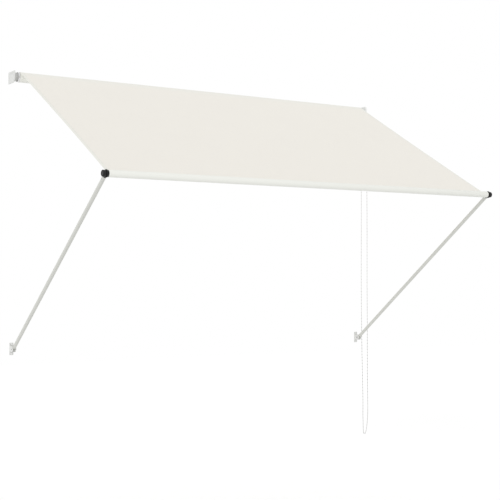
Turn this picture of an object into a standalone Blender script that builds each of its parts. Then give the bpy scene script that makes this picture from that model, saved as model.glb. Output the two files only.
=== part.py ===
# Drop-arm roller awning, modelled at real size in metres.
# The wall is the plane y = 0, outward is -Y, up is +Z and the roller runs along +X.
# The origin is the middle of the left roller bracket's wall face.

from math import acos, asin, atan2, cos, hypot, pi, radians, sin, sqrt

import bmesh
import bpy
from mathutils import Vector
from mathutils.geometry import interpolate_bezier

# Clearances
FIT = 0.0003
RUN = 0.0004

# Canopy
FABRIC_WIDTH = 2.415
FABRIC_T = 0.0008
FABRIC_SAG = 0.0015
FABRIC_NECK = 0.0075
FABRIC_TURNS = 3
FABRIC_CELLS_ALONG = 12
FABRIC_CELLS_ACROSS = 8

# Roller
ROLLER_OUT = 0.068
TUBE_R = 0.0275
TUBE_WALL = 0.0015
IDLE_MARGIN = 0.0096
DRIVE_MARGIN = 0.004
TURN_T = 0.0004
PLUG_DEPTH = 0.035
PLUG_RIM_T = 0.0015
PLUG_STEP = 0.0007
PLUG_NECK_R = 0.0225
IDLE_NECK_L = 0.0055
DRIVE_NECK_L = 0.0035
PLUG_SHELL = 0.003

# Roller brackets
FLANGE_W = 0.042
FLANGE_T = 0.005
FLANGE_LOW = 0.012
FLANGE_CORNER = 0.004
PLATE_T = 0.005
PLATE_SKIRT = 0.0015
PLATE_TOP_R = 0.005
PLATE_LOW_R = 0.025
PANEL_RIM = 0.010
PANEL_DEPTH = 0.0012
WALL_HOLE_R = 0.0030
WALL_HOLE_IN = 0.009
WALL_HOLE_X = 0.008

# Bearing on the left
HUB_R = 0.0245
IDLE_HUB_L = 0.0145
PIN_R = 0.005
PIN_REACH = 0.024
PIN_SEAT = 0.003
BUSH_WALL = 0.002

# Chain drive on the right
CLUTCH_L = 0.0143
CLUTCH_BORE_R = 0.015
CLUTCH_LIP = 0.004
SHAFT_AF = 0.012
SHAFT_REACH = 0.022
SPRING_WIRE_R = 0.0008
SPRING_TURNS = 4
WHEEL_PITCH_R = 0.026
WHEEL_POCKETS = 8
WHEEL_W = 0.009
WHEEL_RIM = 0.0012
WHEEL_WAVE = 0.0013
COVER_WALL = 0.0015
COVER_ROOM = 0.0015
COVER_ROUND = 0.004
COVER_SCREW_R = 0.002
COVER_SCREW_HEAD_R = 0.0038
COVER_SCREW_HEAD_T = 0.0018
COVER_SCREW_IN = 0.013
COVER_SCREW_OUT = 0.018
BOSS_R = 0.0045

# Bead chain
BEAD_R = 0.003
CHAIN_SLOT = 0.0012
CONNECTOR_R = 0.0040
CONNECTOR_L = 0.018
CONNECTOR_DROP = 0.045
CHAIN_POINTS_PER_SPAN = 2

# Front bar
BAR_R = 0.0178
BAR_WALL = 0.0016
BAR_LIP = 0.0005
BARE_BAR = 0.004
KEDER_R = 0.0025
KEDER_GAP = 0.0005
KEDER_WALL = 0.0014
SLOT_W = 0.0024

# Bar-end joints
EYE_R = 0.0198
EYE_T = 0.005
BLOCK_R = 0.0165
BLOCK_L = 0.007
BLOCK_SPIGOT = 0.028
KNOB_L = 0.018
KNOB_ROUND = 0.0035
KNOB_DISH = 0.0012
BOLT_R = 0.004
BOLT_HEAD_AF = 0.013
BOLT_HEAD_T = 0.0055
BOLT_IN_KNOB = 0.011

# Arms
ARM_LENGTH = 1.529
ARM_LEAN = radians(54.4)
ARM_R = 0.010
ARM_WALL = 0.0012
NECK_W = 0.010
COLLAR_T = 0.001
SPIGOT_L = 0.034
HEAD_GAP = 0.0015
FOOT_GAP = 0.0035
FOOT_EYE_R = 0.0110
FOOT_STEP = 0.0028
RIVET_R = 0.002
RIVET_HEAD_R = 0.0035
RIVET_HEAD_T = 0.0009

# Arm brackets
PIVOT_OUT = 0.034
PIVOT_DROP = 1.534
BASE_LIP = 0.0005
BASE_H = 0.070
BASE_T = 0.005
BASE_CORNER = 0.003
BASE_HOLE_IN = 0.007
EAR_T = 0.003
EAR_R = 0.0165
PIVOT_R = 0.003
PIVOT_HEAD_R = 0.0050
PIVOT_HEAD_RIM = 0.0004
PIVOT_NUT_AF = 0.010
PIVOT_NUT_T = 0.0045
PIVOT_TAIL = 0.002

# The route of the chain below the wheel, as lean away from the wall, half width and height.
CHAIN_ROUTE = (
    (0.0010, 0.0263, -0.10),
    (0.0045, 0.0285, -0.25),
    (0.0075, 0.0305, -0.50),
    (0.0076, 0.0315, -0.80),
    (0.0058, 0.0320, -1.15),
    (0.0078, 0.0312, -1.50),
    (0.0105, 0.0275, -1.76),
    (0.0150, 0.0263, -1.96),
    (0.0138, 0.0258, -2.06),
    (0.0122, 0.0225, -2.105),
    (0.0095, 0.0185, -2.143),
    (0.0058, 0.0125, -2.170),
    (0.0030, 0.0, -2.186),
)

# Sides of round forms
FINE = 40
MEDIUM = 28
COARSE = 12

# Finishes: colour, roughness, metallic
FINISHES = {
    "white": ((0.86, 0.86, 0.85), 0.38, 0.0),
    "white plastic": ((0.88, 0.88, 0.86), 0.45, 0.0),
    "grey plastic": ((0.60, 0.60, 0.58), 0.50, 0.0),
    "dark plastic": ((0.20, 0.20, 0.20), 0.50, 0.0),
    "black plastic": ((0.015, 0.015, 0.015), 0.42, 0.0),
    "steel": ((0.62, 0.62, 0.62), 0.35, 1.0),
    "aluminium": ((0.80, 0.80, 0.81), 0.40, 1.0),
    "cream fabric": ((0.85, 0.82, 0.74), 0.85, 0.0),
    "chain plastic": ((0.90, 0.90, 0.88), 0.40, 0.0),
}

# Places along the roller, from the left bracket to the right one
left_plate_outer = -FLANGE_W / 2
left_plate_inner = left_plate_outer + PLATE_T
idle_hub_start = left_plate_inner + FIT
idle_hub_end = idle_hub_start + IDLE_HUB_L
idle_neck_start = idle_hub_end + FIT
idle_rim_end = idle_neck_start + IDLE_NECK_L + PLUG_RIM_T
tube_start = idle_rim_end + FIT
fabric_start = tube_start + IDLE_MARGIN
fabric_end = fabric_start + FABRIC_WIDTH
tube_end = fabric_end + DRIVE_MARGIN
drive_rim_start = tube_end + FIT
drive_neck_end = drive_rim_start + PLUG_RIM_T + DRIVE_NECK_L
clutch_start = drive_neck_end + FIT
clutch_end = clutch_start + CLUTCH_L
right_plate_inner = clutch_end + FIT
right_plate_outer = right_plate_inner + PLATE_T
wheel_x = right_plate_outer + RUN + WHEEL_W / 2
cover_outer = right_plate_outer + RUN + WHEEL_W + RUN + COVER_WALL
right_flange_x = right_plate_outer - FLANGE_W / 2

# The side view of the brackets and the cover, which leaves room for the beads on the wheel
plate_top = WHEEL_PITCH_R + BEAD_R + COVER_ROOM + COVER_WALL
plate_bottom = plate_top + PLATE_SKIRT
plate_depth = ROLLER_OUT + plate_top
cover_screw_z = plate_top - COVER_SCREW_IN

# Places along the front bar
bar_start = fabric_start - BAR_LIP
bar_end = fabric_end + BARE_BAR
bar_to_arm = FIT + BLOCK_L + FIT + EYE_T / 2
arm_x = {"left": bar_start - bar_to_arm, "right": bar_end + bar_to_arm}
OUTWARD = {"left": -1, "right": 1}

# The arm's tube ends just outside the eye of its head and the ears of its bracket
head_reach = EYE_R + HEAD_GAP
foot_reach = EAR_R + FOOT_GAP
foot_half = ARM_R - FOOT_STEP
ear_inner = foot_half + FIT
ear_outer = ear_inner + EAR_T

# The roller axis, the pivots and the bar axis in the plane of y and z
roller = Vector((-ROLLER_OUT, 0))
pivot = Vector((-PIVOT_OUT, -PIVOT_DROP))
bar = pivot + ARM_LENGTH * Vector((-sin(ARM_LEAN), cos(ARM_LEAN)))
roll_r = TUBE_R + FIT + FABRIC_TURNS * TURN_T

# The canopy runs straight from the top of the roll to the axis of the bar
reach = roller - bar
canopy_r = roll_r + FIT + FABRIC_T / 2
canopy_angle = atan2(reach.y, reach.x) + asin(canopy_r / reach.length)
canopy_dir = Vector((cos(canopy_angle), sin(canopy_angle)))
canopy_length = sqrt(reach.length_squared - canopy_r**2)

# The keder channel lies just inside the wall of its tube
channel_r = KEDER_R + KEDER_GAP


def clear_scene():
    for obj in list(bpy.data.objects):
        bpy.data.objects.remove(obj, do_unlink=True)


clear_scene()
parts = bpy.data.collections.new("canvas_awning")
cutters = bpy.data.collections.new("cutters")
bpy.context.scene.collection.children.link(parts)
bpy.context.scene.collection.children.link(cutters)


def paint(obj, finish):
    """Gives a piece its own material."""
    colour, roughness, metallic = FINISHES[finish]
    material = bpy.data.materials.new(obj.name + "_" + finish.replace(" ", "_"))
    material.use_nodes = True
    shader = material.node_tree.nodes["Principled BSDF"]
    shader.inputs["Base Color"].default_value = (*colour, 1)
    shader.inputs["Roughness"].default_value = roughness
    shader.inputs["Metallic"].default_value = metallic
    obj.data.materials.clear()
    obj.data.materials.append(material)


def place(obj, finish, parent=None, location=(0, 0, 0), rotation=(0, 0, 0)):
    """Puts a piece in the awning, or in the cutters where it has no finish."""
    obj.location = location
    obj.rotation_euler = rotation
    obj.parent = parent
    if finish:
        parts.objects.link(obj)
        paint(obj, finish)
    else:
        cutters.objects.link(obj)
        obj.hide_render = True
        obj.display_type = "WIRE"
    return obj


def combine(target, operand, operation="DIFFERENCE"):
    modifier = target.modifiers.new(operand.name, "BOOLEAN")
    modifier.operation = operation
    modifier.object = operand
    return target


def shade(mesh):
    mesh.shade_smooth()
    mesh.set_sharp_from_angle(angle=radians(35))


def arc(centre, radius, start, end, sides):
    """Points round part of a circle."""
    steps = max(1, round(abs(end - start) / (2 * pi) * sides))
    angles = [start + (end - start) * i / steps for i in range(steps + 1)]
    return [(centre[0] + radius * cos(a), centre[1] + radius * sin(a)) for a in angles]


def circle(centre, radius, sides):
    return arc(centre, radius, 0, 2 * pi, sides)[:-1]


def hexagon(centre, across_flats):
    return circle(centre, across_flats / sqrt(3), 6)


def rounded(corners, sides=COARSE):
    """An outline through corners given as (y, z, radius), in anticlockwise order."""
    points = []
    for index, (y, z, radius) in enumerate(corners):
        here = Vector((y, z))
        before = (Vector(corners[index - 1][:2]) - here).normalized()
        after = (Vector(corners[(index + 1) % len(corners)][:2]) - here).normalized()
        if radius == 0:
            points.append((y, z))
            continue
        half = before.angle(after) / 2
        centre = here + (before + after).normalized() * radius / sin(half)
        first = here + before * radius / sin(half) * cos(half) - centre
        last = here + after * radius / sin(half) * cos(half) - centre
        start = atan2(first.y, first.x)
        turn = (atan2(last.y, last.x) - start) % (2 * pi)
        points += arc(centre, radius, start, start + turn, sides * 2)
    return points


def welded_mesh(obj):
    """A curve object made a plain mesh object, with its caps joined to its sides."""
    graph = bpy.context.evaluated_depsgraph_get()
    mesh = bpy.data.meshes.new_from_object(obj.evaluated_get(graph))
    shape = bmesh.new()
    shape.from_mesh(mesh)
    bmesh.ops.remove_doubles(shape, verts=shape.verts, dist=1e-6)
    bmesh.ops.recalc_face_normals(shape, faces=shape.faces)
    shape.to_mesh(mesh)
    shape.free()
    shade(mesh)
    name = obj.name
    bpy.data.objects.remove(obj)
    return bpy.data.objects.new(name, mesh)


def slab(name, loops, near, far, finish=None, parent=None, at=(0, 0), facing="side"):
    """Outlines made solid from near to far.

    A side slab has its outlines in y and z, and near and far are along x.
    A front slab has them in x and z, and near and far are distances from the wall."""
    curve = bpy.data.curves.new(name, "CURVE")
    curve.dimensions = "2D"
    curve.fill_mode = "BOTH"
    curve.extrude = (far - near) / 2
    for loop in loops:
        spline = curve.splines.new("POLY")
        spline.points.add(len(loop) - 1)
        for point, (y, z) in zip(spline.points, loop):
            point.co = (y, z, 0, 1)
        spline.use_cyclic_u = True
    flat = bpy.data.objects.new(name, curve)
    bpy.context.scene.collection.objects.link(flat)
    middle = (near + far) / 2
    if facing == "front":
        return place(welded_mesh(flat), finish, parent, (at[0], -middle, at[1]), (pi / 2, 0, 0))
    return place(welded_mesh(flat), finish, parent, (middle, *at), (pi / 2, 0, pi / 2))


def wall_plate(name, x0, x1, z0, z1, thickness, corner, finish=None):
    """A flat plate with rounded corners that stands against the wall."""
    outline = rounded(((x0, z0, corner), (x1, z0, corner), (x1, z1, corner), (x0, z1, corner)))
    return slab(name, [outline], 0, thickness, finish, facing="front")


def stack(name, slices, finish=None):
    """Outlines with the same number of points at rising x, joined into a solid."""
    shape = bmesh.new()
    rows = [[shape.verts.new((x, y, z)) for y, z in outline] for x, outline in slices]
    for low, high in zip(rows, rows[1:]):
        for i in range(len(low)):
            shape.faces.new((low[i - 1], low[i], high[i], high[i - 1]))
    shape.faces.new(rows[0])
    shape.faces.new(rows[-1])
    bmesh.ops.recalc_face_normals(shape, faces=shape.faces)
    mesh = bpy.data.meshes.new(name)
    shape.to_mesh(mesh)
    shape.free()
    shade(mesh)
    return place(bpy.data.objects.new(name, mesh), finish)


def turned(name, profile, finish=None, start=(0, 0, 0), axis="right", sides=MEDIUM, parent=None):
    """A profile of (radius, distance) turned round an axis that leaves start.

    The profile runs down its outer side from the far end to the near one.
    A hollow piece goes on up its bore and closes."""
    mesh = bpy.data.meshes.new(name)
    hollow = profile[0][0] > 0
    edges = [(i, i + 1) for i in range(len(profile) - 1)]
    if hollow:
        edges.append((len(profile) - 1, 0))
    mesh.from_pydata([(radius, 0, z) for radius, z in profile], edges, [])
    obj = bpy.data.objects.new(name, mesh)
    screw = obj.modifiers.new("Turn", "SCREW")
    screw.steps = sides
    screw.render_steps = sides
    screw.use_merge_vertices = True
    screw.merge_threshold = 1e-6
    screw.use_smooth_shade = True
    turns = {"right": (0, pi / 2, 0), "left": (0, -pi / 2, 0), "up": (0, 0, 0), "in": (-pi / 2, 0, 0)}
    return place(obj, finish, parent, start, turns[axis])


def ring(outer, inner, near, far):
    """The profile of a plain tube."""
    return [(outer, far), (outer, near), (inner, near), (inner, far)]


def rod(radius, near, far):
    """The profile of a plain bar."""
    return [(0, far), (radius, far), (radius, near), (0, near)]


def box(name, low, high, finish=None, parent=None):
    mesh = bpy.data.meshes.new(name)
    shape = bmesh.new()
    bmesh.ops.create_cube(shape, size=1)
    size = Vector(high) - Vector(low)
    bmesh.ops.scale(shape, vec=size, verts=shape.verts)
    shape.to_mesh(mesh)
    shape.free()
    middle = (Vector(low) + Vector(high)) / 2
    return place(bpy.data.objects.new(name, mesh), finish, parent, middle)


def keder_tube(name, radius, wall, angle, x0, x1, finish, at):
    """A tube with a keder channel inside its wall and a slot along it."""
    bore = radius - wall
    centre_r = bore - channel_r
    half = SLOT_W / 2
    outer_open = asin(half / radius)
    channel_open = asin(half / channel_r)
    boss = channel_r + KEDER_WALL
    boss_meet = acos((bore**2 + centre_r**2 - boss**2) / (2 * bore * centre_r))
    meet_point = Vector((bore * cos(boss_meet) - centre_r, bore * sin(boss_meet)))
    boss_start = atan2(meet_point.y, meet_point.x)
    outside = arc((0, 0), radius, outer_open, 2 * pi - outer_open, FINE)
    channel = arc((centre_r, 0), channel_r, 2 * pi - channel_open, channel_open, COARSE)
    bore_part = arc((0, 0), bore, boss_meet, 2 * pi - boss_meet, FINE)
    boss_part = arc((centre_r, 0), boss, 2 * pi - boss_start, boss_start, COARSE)
    loops = [outside + channel, bore_part + boss_part[1:-1]]
    turned_loops = [
        [(y * cos(angle) - z * sin(angle), y * sin(angle) + z * cos(angle)) for y, z in loop]
        for loop in loops
    ]
    return slab(name, turned_loops, x0, x1, finish, at=at)


def keder(name, radius, wall, angle, x0, x1, at):
    """The round cord that holds the cloth in a keder channel."""
    centre_r = radius - wall - channel_r
    y = at[0] + centre_r * cos(angle)
    z = at[1] + centre_r * sin(angle)
    return turned(name, rod(KEDER_R, 0, x1 - x0), "white plastic", (x0, y, z), "right", COARSE)


def plate_outline(inset=0.0):
    """The side view of a roller bracket, or the same shape drawn in by inset."""
    back = -inset
    front = -plate_depth + inset
    top = plate_top - inset
    bottom = -plate_bottom + inset
    return rounded(
        (
            (back, bottom, 0),
            (back, top, 0),
            (front, top, max(PLATE_TOP_R - inset, 0.001)),
            (front, bottom, PLATE_LOW_R - inset),
        )
    )


def roller_bracket(side, plate_x, flange_x, bore_r):
    """Side plate and wall flange in one piece, with screw holes and a bore."""
    name = "roller_bracket_" + side
    plate_far = plate_x + PLATE_T
    bracket = slab(name, [plate_outline()], plate_x, plate_far, "white")
    middle_x = plate_x + PLATE_T / 2
    free_x = flange_x - OUTWARD[side] * FLANGE_W / 2
    x0, x1 = min(middle_x, free_x), max(middle_x, free_x)
    flange = wall_plate(name + "_flange", x0, x1, -FLANGE_LOW, plate_top, FLANGE_T, FLANGE_CORNER)
    combine(bracket, flange, "UNION")
    outer_x = plate_x if side == "left" else plate_far
    rim = PANEL_RIM
    panel = rounded(
        (
            (-FLANGE_T - rim, -plate_bottom + rim, PLATE_TOP_R),
            (-FLANGE_T - rim, plate_top - rim, PLATE_TOP_R),
            (-plate_depth + rim, plate_top - rim, PLATE_TOP_R),
            (-plate_depth + rim, -plate_bottom + rim, PLATE_LOW_R - rim),
        )
    )
    if side == "left":
        combine(bracket, slab(name + "_panel", [panel], outer_x - PANEL_DEPTH, outer_x + PANEL_DEPTH))
    seat = PLATE_T - PIN_SEAT if side == "left" else -PLATE_T
    bore = turned(name + "_bore", rod(bore_r, seat, 2 * PLATE_T), None, (plate_x, *roller))
    combine(bracket, bore)
    for level, z in (("low", -FLANGE_LOW + WALL_HOLE_IN), ("high", plate_top - WALL_HOLE_IN)):
        hole_x = flange_x - OUTWARD[side] * WALL_HOLE_X
        start = (hole_x, -2 * FLANGE_T, z)
        hole = turned(name + "_hole_" + level, rod(WALL_HOLE_R, 0, 3 * FLANGE_T), None, start, "in", COARSE)
        combine(bracket, hole)
    return bracket


def idle_end():
    """The left end of the roller: a fixed hub and pin, and the plug that turns on them."""
    pin_end = idle_hub_end + PIN_REACH
    bush_r = PIN_R + RUN
    socket_r = bush_r + BUSH_WALL
    at = (0, *roller)
    hub = ring(HUB_R, PIN_R + FIT, idle_hub_start, idle_hub_end)
    turned("idle_hub", hub, "grey plastic", at)
    turned("idle_pin", rod(PIN_R, left_plate_inner - PIN_SEAT + FIT, pin_end), "steel", at)
    turned("idle_bush", ring(socket_r, bush_r, idle_neck_start, pin_end), "white plastic", at)
    plug_r = TUBE_R - TUBE_WALL - FIT
    plug_end = idle_rim_end + PLUG_DEPTH
    profile = [
        (plug_r, plug_end),
        (plug_r, idle_rim_end),
        (TUBE_R - PLUG_STEP, idle_rim_end),
        (TUBE_R - PLUG_STEP, idle_rim_end - PLUG_RIM_T),
        (PLUG_NECK_R, idle_rim_end - PLUG_RIM_T),
        (PLUG_NECK_R, idle_neck_start),
        (socket_r + FIT, idle_neck_start),
        (socket_r + FIT, pin_end + FIT),
        (socket_r + FIT + PLUG_SHELL, pin_end + FIT),
        (socket_r + FIT + PLUG_SHELL, idle_rim_end + PLUG_SHELL),
        (plug_r - PLUG_SHELL, idle_rim_end + PLUG_SHELL),
        (plug_r - PLUG_SHELL, plug_end),
    ]
    plug = turned("idle_plug", profile, "dark plastic", at)
    clear_channel(plug, "idle_plug", tube_start, plug_end)


def clear_channel(plug, name, x0, x1):
    """Cuts the way for the tube's keder channel along a plug's spigot."""
    y, z = channel_place()
    cut_r = channel_r + KEDER_WALL + FIT
    cut = turned(name + "_channel", rod(cut_r, x0 - FIT, x1 + FIT), None, (0, y, z), "right", COARSE)
    combine(plug, cut)


def channel_place():
    """Where the axis of the roller tube's keder channel lies."""
    centre_r = TUBE_R - TUBE_WALL - channel_r
    return (roller.x + centre_r * cos(tube_slot_angle), roller.y + centre_r * sin(tube_slot_angle))


def drive_end():
    """The right end of the roller: plug, hexagon shaft, clutch and chain wheel."""
    at = (0, *roller)
    plug_r = TUBE_R - TUBE_WALL - FIT
    plug_start = drive_rim_start - PLUG_DEPTH
    profile = [
        (0, drive_neck_end),
        (PLUG_NECK_R, drive_neck_end),
        (PLUG_NECK_R, drive_rim_start + PLUG_RIM_T),
        (TUBE_R - PLUG_STEP, drive_rim_start + PLUG_RIM_T),
        (TUBE_R - PLUG_STEP, drive_rim_start),
        (plug_r, drive_rim_start),
        (plug_r, plug_start),
        (0, plug_start),
    ]
    plug = turned("drive_plug", profile, "dark plastic", at)
    shaft_start = drive_neck_end - SHAFT_REACH
    shaft_end = wheel_x + WHEEL_W / 2
    socket = [hexagon((0, 0), SHAFT_AF + 2 * FIT)]
    combine(plug, slab("drive_plug_socket", socket, shaft_start - FIT, drive_neck_end + FIT, at=roller))
    clear_channel(plug, "drive_plug", plug_start, tube_end)
    slab("drive_shaft", [hexagon((0, 0), SHAFT_AF)], shaft_start, shaft_end, "steel", at=roller)

    # The clutch housing is fixed to the plate and the shaft turns inside it
    corner_r = SHAFT_AF / sqrt(3)
    neck_r = corner_r + RUN
    lip = clutch_start + CLUTCH_LIP
    housing = [
        (HUB_R, clutch_end),
        (HUB_R, clutch_start),
        (neck_r, clutch_start),
        (neck_r, lip),
        (CLUTCH_BORE_R, lip),
        (CLUTCH_BORE_R, clutch_end),
    ]
    turned("clutch_housing", housing, "white plastic", at)
    clutch_spring(corner_r, lip)


def clutch_spring(shaft_r, start):
    """A wrap spring round the shaft, closed coils of thin wire."""
    radius = shaft_r + SPRING_WIRE_R + RUN
    pitch = (clutch_end - start - 2 * SPRING_WIRE_R - 2 * FIT) / SPRING_TURNS
    steps = SPRING_TURNS * COARSE
    curve = bpy.data.curves.new("clutch_spring", "CURVE")
    curve.dimensions = "3D"
    curve.bevel_depth = SPRING_WIRE_R
    curve.bevel_resolution = 1
    curve.use_fill_caps = True
    spline = curve.splines.new("POLY")
    spline.points.add(steps)
    for index, point in enumerate(spline.points):
        angle = 2 * pi * index / COARSE
        x = start + SPRING_WIRE_R + FIT + pitch * index / COARSE
        point.co = (x, radius * cos(angle), radius * sin(angle), 1)
    place(bpy.data.objects.new("clutch_spring", curve), "steel", None, (0, *roller))


def chain_wheel():
    """A wheel with a groove for the beads and a scalloped rim, one pocket a bead."""
    top = WHEEL_PITCH_R + WHEEL_WAVE / 2
    steps = WHEEL_POCKETS * 6
    outline = []
    for index in range(steps):
        angle = 2 * pi * index / steps
        radius = top - WHEEL_WAVE * (1 + cos(WHEEL_POCKETS * angle)) / 2
        outline.append((radius * cos(angle), radius * sin(angle)))
    x0 = wheel_x - WHEEL_W / 2
    x1 = wheel_x + WHEEL_W / 2
    bore = hexagon((0, 0), SHAFT_AF + 2 * FIT)
    wheel = slab("chain_wheel", [outline, bore], x0, x1, "white plastic", at=roller)
    floor_r = WHEEL_PITCH_R - BEAD_R - FIT
    groove = ring(2 * WHEEL_PITCH_R, floor_r, x0 + WHEEL_RIM, x1 - WHEEL_RIM)
    combine(wheel, turned("chain_wheel_groove", groove, None, (0, *roller)))


def shell_slices(inset, x0, x1, edge_r):
    """The bracket's side view along x, drawn in round an edge of radius edge_r at x1."""
    slices = [(x0, plate_outline(inset))]
    steps = COARSE // 3
    for step in range(steps + 1):
        angle = pi / 2 * step / steps
        drawn_in = inset + edge_r * (1 - cos(angle))
        slices.append((x1 - edge_r * (1 - sin(angle)), plate_outline(drawn_in)))
    return slices


def chain_cover():
    """The shell over the chain wheel, open to the plate and slotted below."""
    x0 = right_plate_outer + FIT
    x1 = cover_outer
    edge_r = COVER_ROUND - COVER_WALL
    cover = stack("chain_cover", shell_slices(0, x0, x1, COVER_ROUND), "white plastic")
    slices = shell_slices(COVER_WALL, x0 - FIT, x1 - COVER_WALL, edge_r)
    inside = stack("chain_cover_inside", slices)
    depth = x1 - x0
    for level, z in (("low", -cover_screw_z), ("high", cover_screw_z)):
        boss = ring(BOSS_R, COVER_SCREW_R + FIT, -depth, 2 * depth)
        at = (x0, -COVER_SCREW_OUT, z)
        combine(inside, turned("cover_boss_" + level, boss, None, at, "right", COARSE))
        hole = rod(COVER_SCREW_R + FIT, -depth, 2 * depth)
        cutter = turned("cover_hole_" + level, hole, None, at, "right", COARSE)
        combine(cover, cutter)
        combine(bpy.data.objects["roller_bracket_right"], cutter)
    combine(cover, inside)
    slot_half = BEAD_R + CHAIN_SLOT
    for strand, sign in (("front", -1), ("rear", 1)):
        y = -ROLLER_OUT + sign * WHEEL_PITCH_R
        low = (wheel_x - slot_half, y - slot_half, -2 * plate_bottom)
        high = (wheel_x + slot_half, y + slot_half, -plate_bottom / 4)
        combine(cover, box("chain_slot_" + strand, low, high))


def cover_screws():
    for level, z in (("low", -cover_screw_z), ("high", cover_screw_z)):
        head = cover_outer + FIT
        tail = right_plate_inner
        profile = [
            (0, head + COVER_SCREW_HEAD_T),
            (COVER_SCREW_HEAD_R * 0.7, head + COVER_SCREW_HEAD_T),
            (COVER_SCREW_HEAD_R, head + COVER_SCREW_HEAD_T / 2),
            (COVER_SCREW_HEAD_R, head),
            (COVER_SCREW_R, head),
            (COVER_SCREW_R, tail),
            (0, tail),
        ]
        at = (0, -COVER_SCREW_OUT, z)
        turned("cover_screw_" + level, profile, "steel", at, "right", COARSE)


def chain_points():
    """The chain's line in y and z: up from its connector, over the wheel and round the loop."""
    middle = -ROLLER_OUT
    route = [(middle + WHEEL_PITCH_R, -CONNECTOR_DROP + FIT), (middle + WHEEL_PITCH_R, -CONNECTOR_DROP / 2)]
    route += arc((middle, 0), WHEEL_PITCH_R, 0, pi, COARSE)
    route += [(middle - lean - half, z) for lean, half, z in CHAIN_ROUTE]
    route += [(middle - lean + half, z) for lean, half, z in reversed(CHAIN_ROUTE[:-1])]
    route.append((middle + WHEEL_PITCH_R, -CONNECTOR_DROP - CONNECTOR_L - FIT))
    return smooth(route, CHAIN_POINTS_PER_SPAN)


def smooth(route, per_span):
    """Points on a smooth curve through a route."""
    points = [Vector((wheel_x, y, z)) for y, z in route]
    ends = [points[0]] + points + [points[-1]]
    slopes = [(ends[i + 2] - ends[i]).normalized() for i in range(len(points))]
    line = []
    for i in range(len(points) - 1):
        third = (points[i + 1] - points[i]).length / 3
        first = points[i] + slopes[i] * third
        second = points[i + 1] - slopes[i + 1] * third
        count = per_span if third > 2 * BEAD_R else 2
        line += interpolate_bezier(points[i], first, second, points[i + 1], count + 1)[:-1]
    return line + [points[-1]]


def bead_chain():
    curve = bpy.data.curves.new("bead_chain", "CURVE")
    curve.dimensions = "3D"
    curve.bevel_depth = BEAD_R
    curve.bevel_resolution = 2
    curve.use_fill_caps = True
    line = chain_points()
    spline = curve.splines.new("POLY")
    spline.points.add(len(line) - 1)
    for point, place_at in zip(spline.points, line):
        point.co = (*place_at, 1)
    place(bpy.data.objects.new("bead_chain", curve), "chain plastic")
    at = (wheel_x, -ROLLER_OUT + WHEEL_PITCH_R, -CONNECTOR_DROP - CONNECTOR_L)
    waist = CONNECTOR_R * 0.75
    profile = [
        (0, CONNECTOR_L),
        (waist, CONNECTOR_L),
        (CONNECTOR_R, CONNECTOR_L * 0.8),
        (CONNECTOR_R, CONNECTOR_L * 0.2),
        (waist, 0),
        (0, 0),
    ]
    turned("chain_connector", profile, "chain plastic", at, "up", COARSE)


def canopy():
    """The open sheet, slightly hollow along its length and drawn in at its sides."""
    keder_centre = BAR_R - BAR_WALL - channel_r
    sheet_end = keder_centre + KEDER_R + FIT
    length = canopy_length - sheet_end
    low = bar + canopy_dir * sheet_end
    down = Vector((canopy_dir.y, -canopy_dir.x))
    mesh = bpy.data.meshes.new("canopy")
    shape = bmesh.new()
    bmesh.ops.create_grid(shape, x_segments=FABRIC_CELLS_ACROSS, y_segments=FABRIC_CELLS_ALONG, size=0.5)
    for vert in shape.verts:
        along = vert.co.y + 0.5
        bow = 4 * along * (1 - along)
        half_width = FABRIC_WIDTH / 2 - FABRIC_NECK * bow
        spot = low + canopy_dir * length * along + down * FABRIC_SAG * bow
        vert.co = (fabric_start + FABRIC_WIDTH / 2 + 2 * vert.co.x * half_width, spot.x, spot.y)
    shape.to_mesh(mesh)
    shape.free()
    mesh.shade_smooth()
    sheet = place(bpy.data.objects.new("canopy", mesh), "cream fabric")
    solid = sheet.modifiers.new("Cloth thickness", "SOLIDIFY")
    solid.thickness = FABRIC_T
    solid.offset = 0
    return sheet


def front_bar():
    keder_tube("front_bar", BAR_R, BAR_WALL, canopy_angle, bar_start, bar_end, "white", bar)
    keder("bar_keder", BAR_R, BAR_WALL, canopy_angle, fabric_start, fabric_end, bar)


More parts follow.
